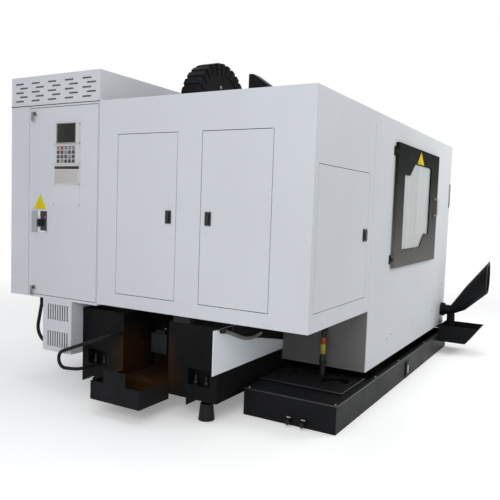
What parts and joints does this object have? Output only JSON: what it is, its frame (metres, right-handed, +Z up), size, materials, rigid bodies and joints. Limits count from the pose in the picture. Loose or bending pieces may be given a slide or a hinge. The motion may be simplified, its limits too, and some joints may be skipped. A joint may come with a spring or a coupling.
{
  "type": "cnc milling machine",
  "caption": "Enclosed vertical milling machine with cross slides, spindle head, electrical cabinet, window door, chip auger and coolant tank.",
  "frame": {"origin": "on the floor at the middle of the outline", "axes": "+Z up, the operator's front faces -Y, the electrical cabinet is on the +X side"},
  "size_m": [2.828, 3.538, 2.311],
  "materials": {
    "white_paint": "satin",
    "black_paint": "satin",
    "grey_paint": "satin",
    "iron": "matte",
    "steel": "satin",
    "motor_paint": "satin",
    "black_plastic": "matte",
    "hose_rubber": "matte",
    "clear_glass": "gloss"
  },
  "bodies": {
    "machine": {"base_casting": "black_paint", "levelling_feet": "iron", "drip_trough": "black_paint", "axis_motors": "motor_paint", "guide_rails": "steel", "column": "black_paint", "junction_box": "black_paint", "chain_trough": "grey_paint", "bulkhead": "grey_paint", "chip_pan": "grey_paint", "rear_panel": "white_paint", "left_guard_panel": "white_paint", "left_side_panel": "white_paint", "right_side_panel": "white_paint", "front_panel": "white_paint", "door_rails": "steel", "skirt_panel": "white_paint", "cabinet_shell": "white_paint", "cabinet_hood": "white_paint", "transformer_box": "white_paint", "drive_rack": "steel", "coolant_tank": "black_paint", "tank_cover": "black_paint", "coolant_pump": "motor_paint", "coolant_pipe": "black_plastic", "chip_tray": "black_paint", "auger_tube": "black_paint", "chip_chute": "black_paint", "supply_hose": "hose_rubber", "motor_hose": "hose_rubber", "window_hinges": "steel"},
    "saddle": {"saddle": "iron", "x_rails": "steel", "x_motor": "motor_paint"},
    "table": {"table": "steel"},
    "head": {"spindle_head": "white_paint", "spindle_motor": "motor_paint", "chain_arm": "grey_paint"},
    "spindle": {"spindle": "steel"},
    "y_screw": {"y_screw": "steel"},
    "x_screw": {"x_screw": "steel"},
    "z_screw": {"z_screw": "steel"},
    "cable_chain": {"cable_chain": "black_plastic"},
    "auger": {"auger": "steel"},
    "front_door": {"front_door": "white_paint", "front_pane": "clear_glass"},
    "window_door": {"window_door": "black_paint", "window_pane": "clear_glass", "window_handle": "black_plastic"},
    "rear_door_a": {"rear_door_a": "white_paint"},
    "rear_door_b": {"rear_door_b": "white_paint"},
    "side_door": {"side_door": "white_paint"},
    "latch_a": {"latch_a": "black_plastic"},
    "latch_b": {"latch_b": "black_plastic"},
    "side_latch": {"side_latch": "black_plastic"},
    "cabinet_door": {"cabinet_door": "white_paint", "control_unit": "white_paint"},
    "switch_handle": {"switch_handle": "black_plastic"},
    "lock_top": {"lock_top": "steel"},
    "lock_low": {"lock_low": "steel"}
  },
  "joints": [
    {"name": "y_slide", "type": "slide", "parent": "machine", "child": "saddle", "axis": [0, 1, 0], "range_m": [-0.22, 0.22]},
    {"name": "x_slide", "type": "slide", "parent": "saddle", "child": "table", "axis": [1, 0, 0], "range_m": [-0.4, 0.4]},
    {"name": "z_slide", "type": "slide", "parent": "machine", "child": "head", "axis": [0, 0, 1], "range_m": [-0.42, 0]},
    {"name": "spindle_spin", "type": "hinge", "parent": "head", "child": "spindle", "pos_m": [0.214, -0.169, 1.33], "axis": [0, 0, 1], "continuous": true},
    {"name": "y_screw_turn", "type": "hinge", "parent": "machine", "child": "y_screw", "pos_m": [0.214, 0.081, 0.4], "axis": [0, 1, 0], "range_deg": [-3963.96, 3963.96]},
    {"name": "x_screw_turn", "type": "hinge", "parent": "saddle", "child": "x_screw", "pos_m": [0.214, -0.194, 0.7584], "axis": [1, 0, 0], "range_deg": [-7207.2, 7207.2]},
    {"name": "z_screw_turn", "type": "hinge", "parent": "machine", "child": "z_screw", "pos_m": [0.214, 0.481, 1.5], "axis": [0, 0, 1], "range_deg": [-7567.56, 0]},
    {"name": "chain_slide", "type": "slide", "parent": "machine", "child": "cable_chain", "axis": [0, 0, 1], "range_m": [-0.21, 0]},
    {"name": "auger_spin", "type": "hinge", "parent": "machine", "child": "auger", "pos_m": [0.214, -1.619, 0.387], "axis": [1, 0, 0], "continuous": true},
    {"name": "front_door_slide", "type": "slide", "parent": "machine", "child": "front_door", "axis": [1, 0, 0], "range_m": [0, 0.64]},
    {"name": "window_door_hinge", "type": "hinge", "parent": "machine", "child": "window_door", "pos_m": [-0.9985, 0.1674, 1.38], "axis": [0, 0, -1], "range_deg": [0, 110]},
    {"name": "rear_door_a_hinge", "type": "hinge", "parent": "machine", "child": "rear_door_a", "pos_m": [0.379, 1.571, 1.26], "axis": [0, 0, -1], "range_deg": [0, 90]},
    {"name": "rear_door_b_hinge", "type": "hinge", "parent": "machine", "child": "rear_door_b", "pos_m": [-0.725, 1.571, 1.26], "axis": [0, 0, 1], "range_deg": [0, 105]},
    {"name": "side_door_hinge", "type": "hinge", "parent": "machine", "child": "side_door", "pos_m": [-0.976, 1.512, 1.175], "axis": [0, 0, -1], "range_deg": [0, 105]},
    {"name": "cabinet_door_hinge", "type": "hinge", "parent": "machine", "child": "cabinet_door", "pos_m": [0.577, 1.571, 1.322], "axis": [0, 0, 1], "range_deg": [0, 90]},
    {"name": "latch_a_turn", "type": "hinge", "parent": "rear_door_a", "child": "latch_a", "pos_m": [-0.027, 1.581, 1.26], "axis": [0, -1, 0], "range_deg": [0, 90]},
    {"name": "latch_b_turn", "type": "hinge", "parent": "rear_door_b", "child": "latch_b", "pos_m": [-0.319, 1.581, 1.26], "axis": [0, 1, 0], "range_deg": [0, 90]},
    {"name": "side_latch_turn", "type": "hinge", "parent": "side_door", "child": "side_latch", "pos_m": [-0.986, 0.754, 1.18], "axis": [1, 0, 0], "range_deg": [0, 90]},
    {"name": "switch_turn", "type": "hinge", "parent": "cabinet_door", "child": "switch_handle", "pos_m": [1.09467, 1.581, 1.1784], "axis": [0, 1, 0], "range_deg": [0, 90]},
    {"name": "lock_top_turn", "type": "hinge", "parent": "cabinet_door", "child": "lock_top", "pos_m": [1.165, 1.581, 1.938], "axis": [0, 1, 0], "range_deg": [0, 90]},
    {"name": "lock_low_turn", "type": "hinge", "parent": "cabinet_door", "child": "lock_low", "pos_m": [1.165, 1.581, 0.716], "axis": [0, 1, 0], "range_deg": [0, 90]}
  ],
  "couplings": [
    {"joint": "y_screw_turn", "follows": "y_slide", "rad_per_m": 314.16},
    {"joint": "x_screw_turn", "follows": "x_slide", "rad_per_m": 314.16},
    {"joint": "z_screw_turn", "follows": "z_slide", "rad_per_m": 314.16},
    {"joint": "chain_slide", "follows": "z_slide", "ratio": 0.5}
  ]
}
